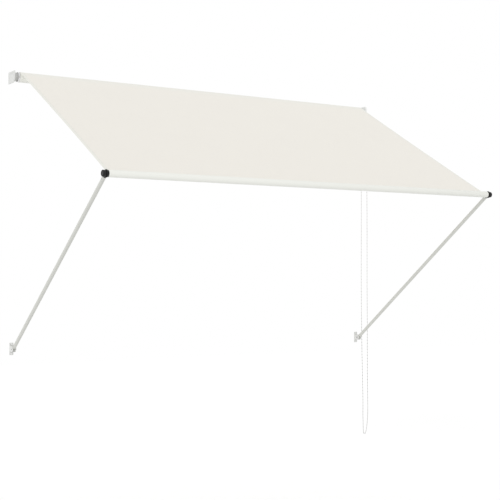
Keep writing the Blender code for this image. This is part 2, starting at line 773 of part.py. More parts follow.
def bar_joint(side):
    """Block, bolt and knob of one bar end, from the bar outwards."""
    away = OUTWARD[side]
    face = bar_end if side == "right" else bar_start
    at = (face + away * FIT, *bar)
    channel_inner = BAR_R - BAR_WALL - 2 * channel_r - KEDER_WALL
    spigot_r = channel_inner - FIT
    hole_r = BOLT_R + FIT
    block = [
        (BLOCK_R - KNOB_DISH, BLOCK_L),
        (BLOCK_R, BLOCK_L - KNOB_DISH),
        (BLOCK_R, 0),
        (spigot_r, 0),
        (spigot_r, -BLOCK_SPIGOT),
        (hole_r, -BLOCK_SPIGOT),
        (hole_r, BLOCK_L),
    ]
    turned("bar_plug_" + side, block, "black plastic", at, side, MEDIUM)
    knob_start = BLOCK_L + FIT + EYE_T + FIT
    knob_end = knob_start + KNOB_L
    bolt_end = knob_start + BOLT_IN_KNOB
    corner = [
        (BLOCK_R - KNOB_ROUND + KNOB_ROUND * cos(a), knob_end - KNOB_ROUND + KNOB_ROUND * sin(a))
        for a in (pi / 2, pi / 3, pi / 6, 0)
    ]
    dish_r = BLOCK_R * 0.55
    knob = [
        (0, knob_end - KNOB_DISH),
        (dish_r, knob_end - KNOB_DISH),
        (dish_r + KNOB_DISH, knob_end),
        *corner,
        (BLOCK_R, knob_start + KNOB_DISH),
        (BLOCK_R - KNOB_DISH, knob_start),
        (hole_r, knob_start),
        (hole_r, bolt_end + FIT),
        (0, bolt_end + FIT),
    ]
    turned("knob_" + side, knob, "black plastic", at, side, MEDIUM)
    shank = rod(BOLT_R, -BLOCK_SPIGOT - FIT - BOLT_HEAD_T / 2, bolt_end)
    bolt = turned("joint_bolt_" + side, shank, "steel", at, side, COARSE)
    head_x = face - away * (BLOCK_SPIGOT + BOLT_HEAD_T / 2)
    x0 = head_x - BOLT_HEAD_T / 2
    head = slab("joint_bolt_head_" + side, [hexagon((0, 0), BOLT_HEAD_AF)], x0, x0 + BOLT_HEAD_T, at=bar)
    combine(bolt, head, "UNION")


def arm(side):
    """One arm in its own frame: the pivot is the origin and the arm runs up z."""
    hinge = bpy.data.objects.new("arm_hinge_" + side, None)
    parts.objects.link(hinge)
    hinge.location = (arm_x[side], *pivot)
    hinge.rotation_euler = (ARM_LEAN, 0, 0)
    spigot_r = ARM_R - ARM_WALL - FIT
    tube_low = foot_reach
    tube_high = ARM_LENGTH - head_reach
    profile = ring(ARM_R, ARM_R - ARM_WALL, tube_low, tube_high)
    tube = turned("arm_tube_" + side, profile, "white", axis="up", parent=hinge)
    foot = arm_foot(side, hinge, spigot_r)
    head = arm_head(side, hinge, spigot_r)
    for name, insert, z in (
        ("foot_rivet_", foot, tube_low + SPIGOT_L / 2),
        ("head_rivet_", head, tube_high - SPIGOT_L / 2),
    ):
        rivet(name + side, (tube, insert), (0, z), hinge)
    return hinge


def rivet(name, holed, at, hinge):
    """A rivet across the arm, and its hole in each piece that it holds."""
    half = ARM_R + RIVET_HEAD_T
    profile = [
        (0, half),
        (RIVET_HEAD_R * 0.6, half),
        (RIVET_HEAD_R, ARM_R + FIT),
        (RIVET_R, ARM_R + FIT),
        (RIVET_R, -ARM_R - FIT),
        (RIVET_HEAD_R, -ARM_R - FIT),
        (RIVET_HEAD_R * 0.6, -half),
        (0, -half),
    ]
    turned(name, profile, "steel", (0, *at), "right", COARSE, hinge)
    bore = rod(RIVET_R + FIT, -2 * ARM_R, 2 * ARM_R)
    hole = turned(name + "_hole", bore, None, (0, *at), "right", COARSE, hinge)
    for piece in holed:
        combine(piece, hole)


def spigot(name, radius, near, far, collar, hinge):
    """A round plug for an arm's end, with a collar that closes the tube."""
    low, high = min(near, far), max(near, far)
    if collar > high:
        profile = [(0, collar), (ARM_R, collar), (ARM_R, high), (radius, high), (radius, low), (0, low)]
    else:
        profile = [(0, high), (radius, high), (radius, low), (ARM_R, low), (ARM_R, collar), (0, collar)]
    return turned(name, profile, None, axis="up", parent=hinge)


def eye_outline(centre_z, radius, neck_z):
    """A round eye with a neck that runs to neck_z."""
    toward = 1 if neck_z > centre_z else -1
    half = NECK_W / 2
    open_angle = asin(half / radius)
    middle = toward * pi / 2
    points = arc((0, centre_z), radius, middle + open_angle, middle + 2 * pi - open_angle, FINE)
    neck = [(half, neck_z), (-half, neck_z)]
    if toward < 0:
        neck.reverse()
    return points + neck


def arm_head(side, hinge, spigot_r):
    """The black eye that turns between the block and the knob."""
    top = ARM_LENGTH - head_reach + FIT
    collar = top + COLLAR_T
    outline = eye_outline(ARM_LENGTH, EYE_R, collar - COLLAR_T / 2)
    bore = circle((0, ARM_LENGTH), BOLT_R + RUN, COARSE)
    head = slab("arm_head_" + side, [outline, bore], -EYE_T / 2, EYE_T / 2, "black plastic", hinge)
    combine(head, spigot("arm_head_spigot_" + side, spigot_r, top, top - SPIGOT_L, collar, hinge), "UNION")
    return head


def arm_foot(side, hinge, spigot_r):
    """The white eye that turns between the bracket's ears."""
    low = foot_reach - FIT
    collar = low - COLLAR_T
    outline = eye_outline(0, FOOT_EYE_R, collar + COLLAR_T / 2)
    bore = circle((0, 0), PIVOT_R + RUN, COARSE)
    foot = slab("arm_foot_" + side, [outline, bore], -foot_half, foot_half, "white plastic", hinge)
    combine(foot, spigot("arm_foot_spigot_" + side, spigot_r, low, low + SPIGOT_L, collar, hinge), "UNION")
    return foot


def arm_bracket(side):
    """Wall plate with two ears, its screw holes and the bore of the pivot."""
    name = "arm_bracket_" + side
    x = arm_x[side]
    half = ear_outer + BASE_LIP
    z0 = pivot.y - BASE_H / 2
    z1 = pivot.y + BASE_H / 2
    base = wall_plate(name, x - half, x + half, z0, z1, BASE_T, BASE_CORNER, "white")
    for ear, sign in (("inner", -1), ("outer", 1)):
        x0 = x + min(sign * ear_inner, sign * ear_outer)
        outline = arc(pivot, EAR_R, pi / 2, 3 * pi / 2, FINE)
        outline += [(-BASE_T / 2, pivot.y - EAR_R), (-BASE_T / 2, pivot.y + EAR_R)]
        combine(base, slab(name + "_ear_" + ear, [outline], x0, x0 + EAR_T), "UNION")
    bolt = turned(name + "_bore", pivot_profile(FIT), None, (x, *pivot), side)
    combine(base, bolt)
    for level, z in (("low", z0 + BASE_HOLE_IN), ("high", z1 - BASE_HOLE_IN)):
        start = (x, -2 * BASE_T, z)
        hole = turned(name + "_hole_" + level, rod(WALL_HOLE_R, 0, 3 * BASE_T), None, start, "in", COARSE)
        combine(base, hole)


def pivot_profile(grow=0.0):
    """The countersunk pivot bolt, or its hole where it is grown by a clearance."""
    face = ear_outer
    tail = -(ear_outer + FIT + PIVOT_NUT_T + PIVOT_TAIL)
    head_r = PIVOT_HEAD_R + grow
    shank_r = PIVOT_R + grow
    rim = face - PIVOT_HEAD_RIM
    cone = rim - (head_r - shank_r)
    top = face + grow
    return [(0, top), (head_r, top), (head_r, rim), (shank_r, cone), (shank_r, tail), (0, tail)]


def pivot_fasteners(side):
    x = arm_x[side]
    turned("pivot_bolt_" + side, pivot_profile(), "steel", (x, *pivot), side, COARSE)
    nut_near = ear_outer + FIT
    start = x - OUTWARD[side] * nut_near
    end = start - OUTWARD[side] * PIVOT_NUT_T
    loops = [hexagon((0, 0), PIVOT_NUT_AF), circle((0, 0), PIVOT_R + FIT, COARSE)]
    slab("pivot_nut_" + side, loops, min(start, end), max(start, end), "steel", at=pivot)


# The roller's keder channel points down and back, under the wound cloth
tube_slot_angle = radians(-60)

roller_bracket("left", left_plate_outer, 0, PIN_R + FIT)
roller_bracket("right", right_plate_inner, right_flange_x, SHAFT_AF / sqrt(3) + RUN)
idle_end()
drive_end()
chain_wheel()
chain_cover()
cover_screws()
bead_chain()
keder_tube("roller_tube", TUBE_R, TUBE_WALL, tube_slot_angle, tube_start, tube_end, "aluminium", roller)
keder("roller_keder", TUBE_R, TUBE_WALL, tube_slot_angle, fabric_start, fabric_end, roller)
roll_loops = [circle((0, 0), roll_r, FINE), circle((0, 0), TUBE_R + FIT, FINE)]
slab("fabric_roll", roll_loops, fabric_start, fabric_end, "cream fabric", at=roller)
canopy()
front_bar()
for side_name in ("left", "right"):
    bar_joint(side_name)
    arm(side_name)
    arm_bracket(side_name)
    pivot_fasteners(side_name)
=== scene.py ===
from math import cos, pi, radians, sin, sqrt

import bpy
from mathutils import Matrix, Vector
from mathutils.geometry import interpolate_bezier


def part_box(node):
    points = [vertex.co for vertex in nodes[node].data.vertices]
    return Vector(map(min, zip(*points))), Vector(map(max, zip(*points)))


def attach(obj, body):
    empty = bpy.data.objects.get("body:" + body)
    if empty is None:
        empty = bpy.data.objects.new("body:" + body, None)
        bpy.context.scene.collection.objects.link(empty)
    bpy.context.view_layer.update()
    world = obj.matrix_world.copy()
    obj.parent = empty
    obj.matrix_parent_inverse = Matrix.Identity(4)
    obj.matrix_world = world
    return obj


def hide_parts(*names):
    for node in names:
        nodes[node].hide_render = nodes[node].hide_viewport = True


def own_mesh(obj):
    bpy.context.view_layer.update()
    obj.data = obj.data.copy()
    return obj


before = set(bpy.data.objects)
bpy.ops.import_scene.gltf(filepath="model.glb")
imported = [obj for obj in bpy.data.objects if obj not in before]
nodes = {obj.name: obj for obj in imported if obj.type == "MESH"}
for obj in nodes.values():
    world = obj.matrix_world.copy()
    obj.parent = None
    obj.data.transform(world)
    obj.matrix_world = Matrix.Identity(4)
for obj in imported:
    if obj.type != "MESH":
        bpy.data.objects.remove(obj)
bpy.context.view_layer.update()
scene = bpy.context.scene


# The photographer's place
# A long lens stands to the left of the awning and a little below the roller,
# and looks slightly up.
camera_place = (-2.139, -5.9948, -1.1425)
camera_tilt = radians(90 + 1.547)
camera_turn = radians(-31.932)
camera_data = bpy.data.cameras.new("photo_camera")
camera_data.lens = 79.02
camera_data.sensor_width = 36.0
camera_data.clip_start = 0.1
camera_data.clip_end = 100.0
camera = bpy.data.objects.new("photo_camera", camera_data)
camera.location = camera_place
camera.rotation_euler = (camera_tilt, 0, camera_turn)
scene.collection.objects.link(camera)
scene.camera = camera


# The studio
# A pale floor under soft white air, with one broad lamp at the left. The
# camera and mirrors see plain white where no shadow lies.
scene.view_settings.view_transform = "Standard"
floor_size = 30
floor_middle = (1.2, -3.0)
floor_level = -2.60
floor_white = 0.88
floor_glow = 0.18
air_light = 0.90
lamp_strength = 0.70
lamp_width = radians(25)
lamp_from = Vector((-0.75, -0.60, 0.28))


def put(tree, kind, settings=(), **inputs):
    """Adds a shader node, with each input set to a value or joined to an output."""
    made = tree.nodes.new("ShaderNode" + kind)
    for name, value in dict(settings).items():
        setattr(made, name, value)
    for name, value in inputs.items():
        socket = made.inputs[name.replace("_", " ")]
        if isinstance(value, bpy.types.NodeSocket):
            tree.links.new(value, socket)
        else:
            socket.default_value = value
    return made


def calculate(tree, operation, first, second=0.0):
    """The output of a Math node, from outputs or plain numbers."""
    made = put(tree, "Math", {"operation": operation})
    for socket, value in zip(made.inputs, (first, second)):
        if isinstance(value, bpy.types.NodeSocket):
            tree.links.new(value, socket)
        else:
            socket.default_value = value
    return made.outputs[0]


def seen_directly(tree):
    """1 for what the camera, a mirror or clear glass looks at, and 0 for light on the object."""
    path = put(tree, "LightPath").outputs
    mirrored = calculate(tree, "MAXIMUM", path["Is Camera Ray"], path["Is Glossy Ray"])
    return calculate(tree, "MAXIMUM", mirrored, path["Is Transmission Ray"])


bpy.ops.object.select_all(action="DESELECT")
bpy.ops.mesh.primitive_plane_add(size=floor_size, location=(*floor_middle, floor_level))
floor = bpy.context.object
floor.name = "studio_floor"

floor_paint = bpy.data.materials.new("studio_floor")
floor_paint.use_nodes = True
tree = floor_paint.node_tree
tree.nodes.clear()
matt = put(tree, "BsdfDiffuse", Color=(floor_white, floor_white, floor_white, 1))
glow_level = calculate(tree, "MULTIPLY", seen_directly(tree), floor_glow)
glow = put(tree, "Emission", Strength=glow_level)
both = put(tree, "AddShader")
tree.links.new(matt.outputs[0], both.inputs[0])
tree.links.new(glow.outputs[0], both.inputs[1])
put(tree, "OutputMaterial", Surface=both.outputs[0])
floor.data.materials.append(floor_paint)

air = bpy.data.worlds.new("studio_air")
air.use_nodes = True
tree = air.node_tree
tree.nodes.clear()
air_level = put(tree, "MapRange", To_Min=air_light, To_Max=1.0, Value=seen_directly(tree))
soft = put(tree, "Background", Color=(1, 1, 1, 1), Strength=air_level.outputs[0])
put(tree, "OutputWorld", Surface=soft.outputs[0])
scene.world = air

lamp_data = bpy.data.lights.new("broad_lamp", "SUN")
lamp_data.energy = lamp_strength
lamp_data.angle = lamp_width
lamp = bpy.data.objects.new("broad_lamp", lamp_data)
lamp.rotation_mode = "QUATERNION"
lamp.rotation_quaternion = (-lamp_from).to_track_quat("-Z", "Y")
scene.collection.objects.link(lamp)


# Bead chain
# A limp endless loop of moulded plastic beads on a thread, closed by a clasp.
# It hangs from the chain wheel and is drawn by hand to wind the roller.
def effect(name, inputs, outputs):
    """A node group for an effect that several finishes share, with its two end nodes."""
    group = bpy.data.node_groups.new(name, "ShaderNodeTree")
    for label, value in inputs.items():
        kind = "NodeSocketVector" if value is None else "NodeSocketFloat"
        socket = group.interface.new_socket(name=label, in_out="INPUT", socket_type=kind)
        if value is not None:
            socket.default_value = value
    for label in outputs:
        group.interface.new_socket(name=label, in_out="OUTPUT", socket_type="NodeSocketFloat")
    ways_in = group.nodes.new("NodeGroupInput").outputs
    ways_out = group.nodes.new("NodeGroupOutput").inputs
    return group, ways_in, ways_out


# Fine grain in a painted or moulded skin, with soft clouds of handling in it
fine_grain, given, taken = effect(
    "fine_grain",
    {"Place": None, "Grain": 900.0, "Clouds": 25.0},
    ("Height", "Cloud", "Speck"),
)
speck_share = 0.35
place = given["Place"]
grain = put(fine_grain, "TexNoise", Vector=place, Scale=given["Grain"], Detail=2.0)
clouds = put(fine_grain, "TexNoise", Vector=place, Scale=given["Clouds"], Detail=5.0)
cloud_range = put(
    fine_grain, "MapRange", Value=clouds.outputs["Fac"], From_Min=0.3, From_Max=0.7
)
speck_scale = calculate(fine_grain, "MULTIPLY", given["Grain"], speck_share)
specks = put(fine_grain, "TexVoronoi", Vector=place, Scale=speck_scale)
speck = put(
    fine_grain, "MapRange", Value=specks.outputs["Distance"], From_Min=0.14, From_Max=0.05
)
fine_grain.links.new(grain.outputs["Fac"], taken["Height"])
fine_grain.links.new(cloud_range.outputs[0], taken["Cloud"])
fine_grain.links.new(speck.outputs[0], taken["Speck"])

# Dust that settles in patches on whatever faces up
settled_dust, given, taken = effect("settled_dust", {"Place": None, "Facing": None}, ("Mask",))
upward = put(settled_dust, "SeparateXYZ", Vector=given["Facing"]).outputs["Z"]
up_mask = put(settled_dust, "MapRange", Value=upward, From_Min=0.35, From_Max=1.0)
patches = put(settled_dust, "TexNoise", Vector=given["Place"], Scale=60.0, Detail=6.0)
patch_mask = put(
    settled_dust, "MapRange", Value=patches.outputs["Fac"], From_Min=0.35, From_Max=0.75
)
dusty = calculate(settled_dust, "MULTIPLY", up_mask.outputs[0], patch_mask.outputs[0])
settled_dust.links.new(dusty, taken["Mask"])

# Corners rubbed by hands and weather, in patches
edge_wear, given, taken = effect("edge_wear", {"Place": None, "Width": 0.0008}, ("Mask",))
rounded = put(edge_wear, "Bevel", {"samples": 4}, Radius=given["Width"]).outputs[0]
straight = put(edge_wear, "NewGeometry").outputs["Normal"]
bend = put(edge_wear, "VectorMath", {"operation": "DOT_PRODUCT"})
edge_wear.links.new(rounded, bend.inputs[0])
edge_wear.links.new(straight, bend.inputs[1])
at_edge = put(
    edge_wear, "MapRange", Value=bend.outputs["Value"], From_Min=0.985, From_Max=0.90
)
rubbed = put(edge_wear, "TexNoise", Vector=given["Place"], Scale=180.0, Detail=4.0)
rubbed_mask = put(
    edge_wear, "MapRange", Value=rubbed.outputs["Fac"], From_Min=0.35, From_Max=0.65
)
worn_off = calculate(edge_wear, "MULTIPLY", at_edge.outputs[0], rubbed_mask.outputs[0])
edge_wear.links.new(worn_off, taken["Mask"])

dust_colour = (0.55, 0.53, 0.49, 1)
cloud_scale = 8.0
corner_polish = 0.10


def skin(
    name,
    colour,
    deeper,
    rough,
    grain_scale,
    grain_depth,
    dust=0.08,
    shine=0.5,
    worn=None,
):
    """A painted or moulded finish.

    rough is the roughness of clean and of handled places, and worn the tint
    of rubbed corners.
    """
    material = bpy.data.materials.new(name)
    material.use_nodes = True
    tree = material.node_tree
    shader = tree.nodes["Principled BSDF"]
    coordinates = put(tree, "TexCoord").outputs
    here = coordinates["Object"]
    surface = put(
        tree,
        "Group",
        {"node_tree": fine_grain},
        Place=here,
        Grain=grain_scale,
        Clouds=cloud_scale,
    ).outputs
    dusty = put(
        tree, "Group", {"node_tree": settled_dust}, Place=here, Facing=coordinates["Normal"]
    ).outputs["Mask"]
    cloud = surface["Cloud"]
    tint = put(tree, "MixRGB", Fac=cloud, Color1=(*colour, 1), Color2=(*deeper, 1)).outputs[0]
    dust_share = calculate(tree, "MULTIPLY", dusty, dust)
    final = put(tree, "MixRGB", Fac=dust_share, Color1=tint, Color2=dust_colour).outputs[0]
    gloss = put(tree, "MapRange", Value=cloud, To_Min=rough[0], To_Max=rough[1]).outputs[0]
    if worn:
        corners = put(tree, "Group", {"node_tree": edge_wear}, Place=here).outputs["Mask"]
        final = put(tree, "MixRGB", Fac=corners, Color1=final, Color2=(*worn, 1)).outputs[0]
        polish = calculate(tree, "MULTIPLY", corners, corner_polish)
        gloss = calculate(tree, "SUBTRACT", gloss, polish)
    tree.links.new(gloss, shader.inputs["Roughness"])
    tree.links.new(final, shader.inputs["Base Color"])
    height = calculate(tree, "ADD", surface["Height"], surface["Speck"])
    relief = put(tree, "Bump", Strength=0.6, Distance=grain_depth, Height=height)
    tree.links.new(relief.outputs[0], shader.inputs["Normal"])
    shader.inputs["Specular IOR Level"].default_value = shine
    return material


chain_plastic = skin(
    "chain_plastic",
    colour=(0.683, 0.688, 0.667),
    deeper=(0.653, 0.658, 0.637),
    rough=(0.30, 0.38),
    grain_scale=2500,
    grain_depth=0.00001,
    dust=0.0,
)
# The lower part of the loop is darkened: painted shade, darker towards the bottom
painted_shade_from = -1.05
painted_shade_to = -1.70
painted_shade_tint = (0.605, 0.605, 0.60, 1)
tree = chain_plastic.node_tree
shader = tree.nodes["Principled BSDF"]
clean = shader.inputs["Base Color"].links[0].from_socket
here = put(tree, "TexCoord").outputs["Object"]
level = put(tree, "SeparateXYZ", Vector=here).outputs["Z"]
# This mask grows towards the bottom of the loop, where the shade is painted
handled = put(tree, "MapRange", Value=level, From_Min=painted_shade_from, From_Max=painted_shade_to)
shaded_lower_loop = put(
    tree,
    "MixRGB",
    {"blend_type": "MULTIPLY"},
    Fac=handled.outputs[0],
    Color1=clean,
    Color2=painted_shade_tint,
)
tree.links.new(shaded_lower_loop.outputs[0], shader.inputs["Base Color"])

bead_r = 0.003
thread_r = 0.0010
thread_share = thread_r / bead_r
wheel_x = 2.4651
wheel_axis = (-0.068, 0.0)
wheel_pitch_r = 0.026
wheel_pockets = 8
clasp_y = wheel_axis[0] + wheel_pitch_r
clasp_top = -0.045
clasp_length = 0.018
clasp_gap = 0.0003
route_steps_over_wheel = 6
points_per_span = 9

# The loop below the wheel, as lean away from the wall, half width and height
chain_fall = (
    (0.0010, 0.0263, -0.10),
    (0.0045, 0.0285, -0.25),
    (0.0075, 0.0305, -0.50),
    (0.0076, 0.0315, -0.80),
    (0.0058, 0.0320, -1.15),
    (0.0078, 0.0312, -1.50),
    (0.0105, 0.0275, -1.76),
    (0.0150, 0.0263, -1.96),
    (0.0138, 0.0258, -2.06),
    (0.0122, 0.0225, -2.105),
    (0.0095, 0.0185, -2.143),
    (0.0058, 0.0125, -2.170),
    (0.0030, 0.0, -2.186),
)


def chain_line():
    """The chain's line: up from the clasp, over the wheel, down the front and back up."""
    middle = wheel_axis[0]
    route = [(clasp_y, clasp_top + clasp_gap), (clasp_y, clasp_top / 2)]
    for step in range(route_steps_over_wheel + 1):
        angle = pi * step / route_steps_over_wheel
        route.append((middle + wheel_pitch_r * cos(angle), wheel_pitch_r * sin(angle)))
    route += [(middle - lean - half, z) for lean, half, z in chain_fall]
    route += [(middle - lean + half, z) for lean, half, z in reversed(chain_fall[:-1])]
    route.append((clasp_y, clasp_top - clasp_length - clasp_gap))
    points = [Vector((wheel_x, y, z)) for y, z in route]
    ends = [points[0]] + points + [points[-1]]
    slopes = [(ends[i + 2] - ends[i]).normalized() for i in range(len(points))]
    line = []
    for i in range(len(points) - 1):
        third = (points[i + 1] - points[i]).length / 3
        first = points[i] + slopes[i] * third
        second = points[i + 1] - slopes[i + 1] * third
        span = interpolate_bezier(points[i], first, second, points[i + 1], points_per_span)
        line += span[:-1]
    return line + [points[-1]]


def along_line(line):
    """A function that gives the point at a distance along a line, and the line's length."""
    marks = [0.0]
    for a, b in zip(line, line[1:]):
        marks.append(marks[-1] + (b - a).length)

    def at(distance):
        i = 0
        while i < len(line) - 2 and marks[i + 1] < distance:
            i += 1
        share = (distance - marks[i]) / (marks[i + 1] - marks[i])
        return line[i].lerp(line[i + 1], min(max(share, 0.0), 1.0))

    return at, marks[-1]


chain_at, chain_length = along_line(chain_line())
bead_pitch = 2 * pi * wheel_pitch_r / wheel_pockets
first_bead = -clasp_top - clasp_gap
# A bead's profile: steps along it in radii, and its radius there
bead_steps = (-1, -0.94, -0.65, 0, 0.65, 0.94, 1)
bead_profile = [(t, max(thread_share, sqrt(1 - t * t))) for t in bead_steps]
# Places on the thread between two beads, as shares of the pitch
thread_steps = (0.37, 0.63)
chain_stations = [(0.0, thread_share)]
bead_count = int((chain_length - first_bead - bead_r) / bead_pitch)
for number in range(-1, bead_count + 1):
    middle = first_bead + number * bead_pitch
    for step, size in bead_profile:
        chain_stations.append((middle + step * bead_r, size))
    for share in thread_steps:
        chain_stations.append((middle + share * bead_pitch, thread_share))
chain_stations = [s for s in chain_stations if s[0] < chain_length - bead_r / 2]
chain_stations.append((chain_length, thread_share))

chain_curve = bpy.data.curves.new("bead_chain_beads", "CURVE")
chain_curve.dimensions = "3D"
chain_curve.bevel_depth = bead_r
chain_curve.bevel_resolution = 2
chain_curve.use_fill_caps = True
spline = chain_curve.splines.new("POLY")
spline.points.add(len(chain_stations) - 1)
for point, (distance, size) in zip(spline.points, chain_stations):
    point.co = (*chain_at(distance), 1)
    point.radius = size
spline.use_smooth = True
chain_curve.materials.append(chain_plastic)
chain = bpy.data.objects.new("bead_chain_beads", chain_curve)
scene.collection.objects.link(chain)
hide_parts("bead_chain")
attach(chain, "frame")


# Chain clasp
# A small barrel of the same plastic, moulded in two halves that snap round
# the last bead at each end of the chain.
def select_only(piece):
    """Selects one piece and makes it active."""
    bpy.ops.object.select_all(action="DESELECT")
    bpy.context.view_layer.objects.active = piece
    piece.select_set(True)


def start_edit(piece):
    """Opens a piece in edit mode, selected all over."""
    select_only(piece)
    bpy.ops.object.mode_set(mode="EDIT")
    bpy.ops.mesh.select_all(action="SELECT")


def end_edit(piece, smooth_angle=35):
    """Closes edit mode and smooths the piece where it bends less than the angle."""
    bpy.ops.object.mode_set(mode="OBJECT")
    select_only(piece)
    bpy.ops.object.shade_smooth_by_angle(angle=radians(smooth_angle))


def hand_over(piece, body, finish, slot, *stands_for):
    """Settles a finished piece at the origin, with its finish, body and nodes."""
    select_only(piece)
    bpy.ops.object.transform_apply(location=True, rotation=True, scale=True)
    piece.data.materials.clear()
    piece.data.materials.append(finish)
    if stands_for:
        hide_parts(*stands_for)
    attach(piece, body)
    return piece


def apply_modifier(piece, name, kind, **settings):
    """Gives a piece a modifier with its settings, and applies it."""
    modifier = piece.modifiers.new(name, kind)
    for label, value in settings.items():
        setattr(modifier, label, value)
    select_only(piece)
    bpy.ops.object.modifier_apply(modifier=modifier.name)


def round_corners(piece, corner, steps, angle):
    """Bevels the corners that are sharper than the angle, and joins points that meet."""
    apply_modifier(
        piece,
        "rounded corners",
        "BEVEL",
        width=corner,
        segments=steps,
        limit_method="ANGLE",
        angle_limit=radians(angle),
        use_clamp_overlap=True,
    )
    start_edit(piece)
    bpy.ops.mesh.remove_doubles(threshold=2e-6)
    bpy.ops.object.mode_set(mode="OBJECT")


clasp_r = 0.004
clasp_middle = clasp_top - clasp_length / 2
clasp_groove = 0.0004
clasp_waist = 0.88
bpy.ops.object.select_all(action="DESELECT")
bpy.ops.mesh.primitive_cylinder_add(
    vertices=24,
    radius=clasp_r,
    depth=clasp_length,
    location=(wheel_x, clasp_y, clasp_middle),
)
clasp = bpy.context.object
clasp.name = "chain_clasp"
start_edit(clasp)
for offset in (clasp_groove, -clasp_groove, 0.0):
    bpy.ops.mesh.select_all(action="SELECT")
    bpy.ops.mesh.bisect(plane_co=(0, 0, clasp_middle + offset), plane_no=(0, 0, 1))
bpy.ops.mesh.select_mode(type="VERT")
bpy.ops.object.mode_set(mode="OBJECT")
for vertex in clasp.data.vertices:
    vertex.select = abs(vertex.co.z) < clasp_groove / 4
bpy.ops.object.mode_set(mode="EDIT")
bpy.ops.transform.resize(value=(clasp_waist, clasp_waist, 1))
end_edit(clasp)
round_corners(clasp, corner=0.0012, steps=4, angle=60)
bpy.ops.object.shade_smooth_by_angle(angle=radians(50))
hand_over(clasp, "frame", chain_plastic, "chain_plastic", "chain_connector")


# Roller brackets
# Two cast side plates with a wall flange each, painted with pale powder. The
# left one has a sunk panel on its outer face.
def dressed(node, body, finish, slot, corner, steps=2, angle=40):
    """A copy of a node with its doubles merged and its corners rounded, in the node's place."""
    piece = bpy.data.objects.new(node + "_finished", nodes[node].data.copy())
    scene.collection.objects.link(piece)
    start_edit(piece)
    bpy.ops.mesh.remove_doubles(threshold=1e-6)
    bpy.ops.mesh.dissolve_limited(angle_limit=radians(0.5))
    bpy.ops.mesh.normals_make_consistent(inside=False)
    bpy.ops.object.mode_set(mode="OBJECT")
    if piece.data.has_custom_normals:
        bpy.ops.mesh.customdata_custom_splitnormals_clear()
    if corner:
        round_corners(piece, corner, steps, angle)
    select_only(piece)
    bpy.ops.object.shade_smooth_by_angle(angle=radians(35))
    return hand_over(piece, body, finish, slot, node)


# The brackets' powder is a darker copy of the bar's white powder: painted shade
bracket_white_painted_shade = skin(
    "bracket_white_painted_shade",
    colour=(0.718, 0.724, 0.706),
    deeper=(0.705, 0.711, 0.694),
    rough=(0.38, 0.44),
    grain_scale=420,
    grain_depth=0.00006,
    dust=0.05,
    worn=(0.60, 0.60, 0.58),
)
for side in ("left", "right"):
    bracket = "roller_bracket_" + side
    dressed(bracket, "frame", bracket_white_painted_shade, "white_paint", corner=0.0008, steps=3)


# Left bearing
# A grey moulded hub fixed to the bracket holds a steel pin. A dark moulded plug
# in the tube's end turns on the pin in a white bush.
def refinish(node, finish):
    """Gives a node whose shape is right its finish."""
    nodes[node].data.materials.clear()
    nodes[node].data.materials.append(finish)


moulded_grey = skin(
    "moulded_grey",
    colour=(0.56, 0.565, 0.55),
    deeper=(0.53, 0.535, 0.52),
    rough=(0.42, 0.54),
    grain_scale=1100,
    grain_depth=0.00004,
    worn=(0.64, 0.64, 0.63),
)
moulded_dark = skin(
    "moulded_dark",
    colour=(0.50, 0.50, 0.49),
    deeper=(0.46, 0.46, 0.45),
    rough=(0.42, 0.56),
    grain_scale=1100,
    grain_depth=0.00004,
    worn=(0.58, 0.58, 0.57),
)
moulded_white = skin(
    "moulded_white",
    colour=(0.83, 0.835, 0.81),
    deeper=(0.815, 0.82, 0.795),
    rough=(0.38, 0.50),
    grain_scale=1000,
    grain_depth=0.00003,
    dust=0.05,
    worn=(0.74, 0.74, 0.71),
)

# Pale and dark crystals in the skin of a metal, under fine drawing marks
plated_metal, given, taken = effect(
    "plated_metal", {"Place": None, "Crystals": 450.0}, ("Tone", "Height")
)
crystal = put(plated_metal, "TexVoronoi", Vector=given["Place"], Scale=given["Crystals"])
crystal_tone = put(plated_metal, "SeparateColor", Color=crystal.outputs["Color"]).outputs[0]
drawn = put(plated_metal, "Mapping", Vector=given["Place"], Scale=(0.05, 1.0, 1.0)).outputs[0]
marks = put(plated_metal, "TexNoise", Vector=drawn, Scale=2500.0, Detail=2.0).outputs["Fac"]
half_crystal = calculate(plated_metal, "MULTIPLY", crystal_tone, 0.5)
half_marks = calculate(plated_metal, "MULTIPLY", marks, 0.5)
metal_tone = calculate(plated_metal, "ADD", half_crystal, half_marks)
plated_metal.links.new(metal_tone, taken["Tone"])
plated_metal.links.new(marks, taken["Height"])


def metal(name, colour, darker, rough, crystals):
    """A plated or drawn metal finish. rough is the roughness of its dark and of its pale spots."""
    material = bpy.data.materials.new(name)
    material.use_nodes = True
    tree = material.node_tree
    shader = tree.nodes["Principled BSDF"]
    here = put(tree, "TexCoord").outputs["Object"]
    surface = put(
        tree, "Group", {"node_tree": plated_metal}, Place=here, Crystals=crystals
    ).outputs
    tone = surface["Tone"]
    tint = put(tree, "MixRGB", Fac=tone, Color1=(*darker, 1), Color2=(*colour, 1))
    tree.links.new(tint.outputs[0], shader.inputs["Base Color"])
    gloss = put(tree, "MapRange", Value=tone, To_Min=rough[0], To_Max=rough[1])
    tree.links.new(gloss.outputs[0], shader.inputs["Roughness"])
    relief = put(tree, "Bump", Strength=0.4, Distance=0.00001, Height=surface["Height"])
    tree.links.new(relief.outputs[0], shader.inputs["Normal"])
    shader.inputs["Metallic"].default_value = 1.0
    return material


zinc_steel = metal(
    "zinc_steel",
    colour=(0.68, 0.68, 0.67),
    darker=(0.52, 0.52, 0.52),
    rough=(0.24, 0.40),
    crystals=450,
)

dressed("idle_hub", "frame", moulded_grey, "grey_plastic", corner=0.0010, steps=3)
dressed("idle_plug", "roller", moulded_dark, "dark_plastic", corner=0.0004)
refinish("idle_bush", moulded_white)
refinish("idle_pin", zinc_steel)


